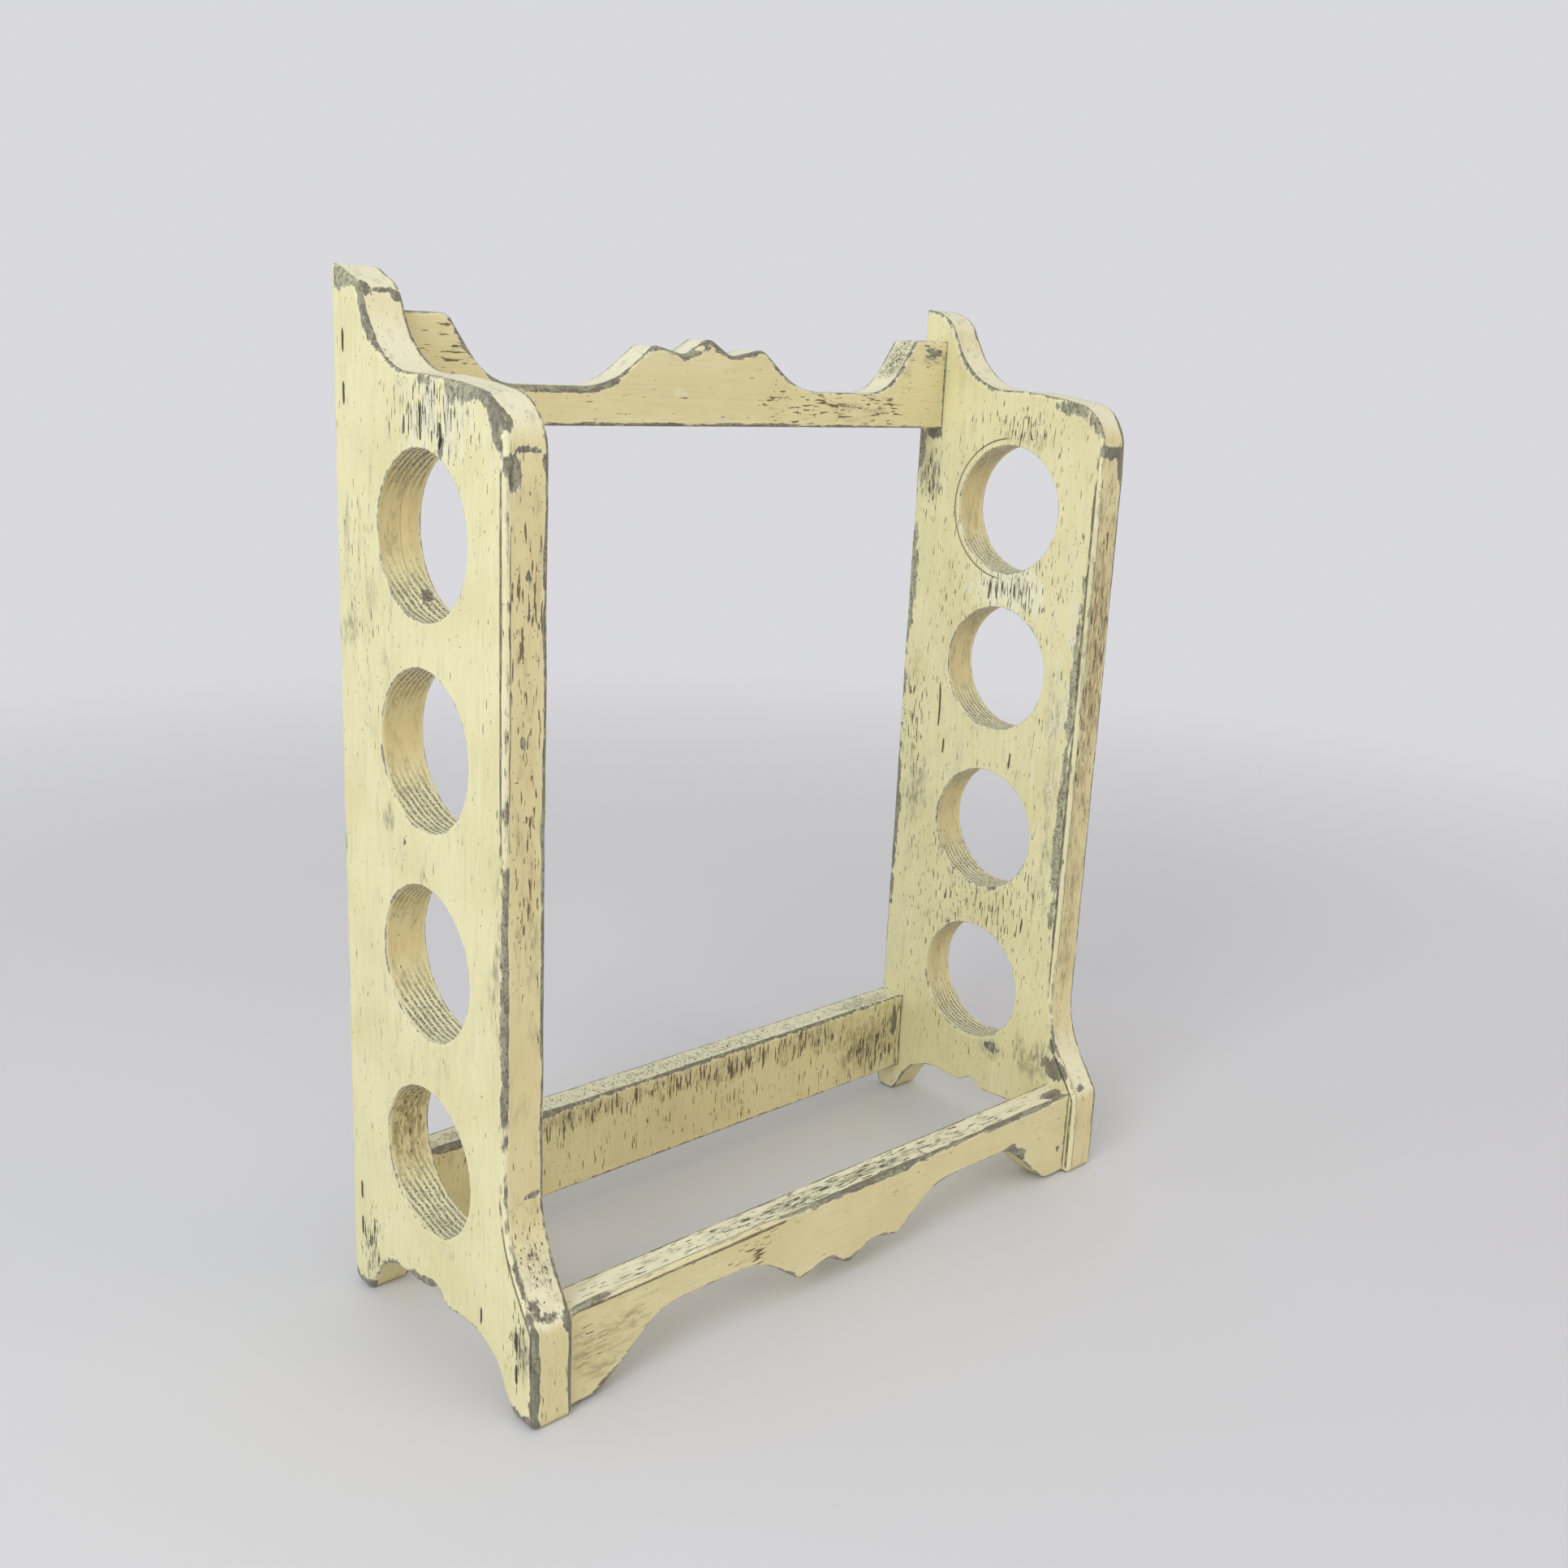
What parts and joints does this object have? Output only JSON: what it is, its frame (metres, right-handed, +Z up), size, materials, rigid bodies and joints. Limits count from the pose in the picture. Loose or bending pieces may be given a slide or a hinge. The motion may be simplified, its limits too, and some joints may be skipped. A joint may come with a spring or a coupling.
{
  "type": "free-standing wooden rolling pin rack",
  "caption": "Free-standing wooden rack: shaped side panels with facing round holes for rolling pins or rolls, joined by a scalloped top rail, a rear rail and a front apron.",
  "frame": {"origin": "middle of the footprint, on the surface the rack stands on", "axes": "+Z up; +X along the rack's length, from the left panel to the right; +Y to the rear"},
  "size_m": [0.352, 0.139, 0.432],
  "materials": {
    "painted_pine": "pale butter-yellow chalk paint, sanded through to grey at the arrises",
    "staple_steel": "dulled and painted over"
  },
  "bodies": {
    "root": {"left_side_panel": "painted_pine", "right_side_panel": "painted_pine", "top_rail": "painted_pine", "rear_rail": "painted_pine", "front_apron": "painted_pine", "left_top_staples": "staple_steel", "left_rear_staples": "staple_steel", "left_front_staples": "staple_steel", "right_top_staples": "staple_steel", "right_rear_staples": "staple_steel", "right_front_staples": "staple_steel"}
  },
  "joints": []
}
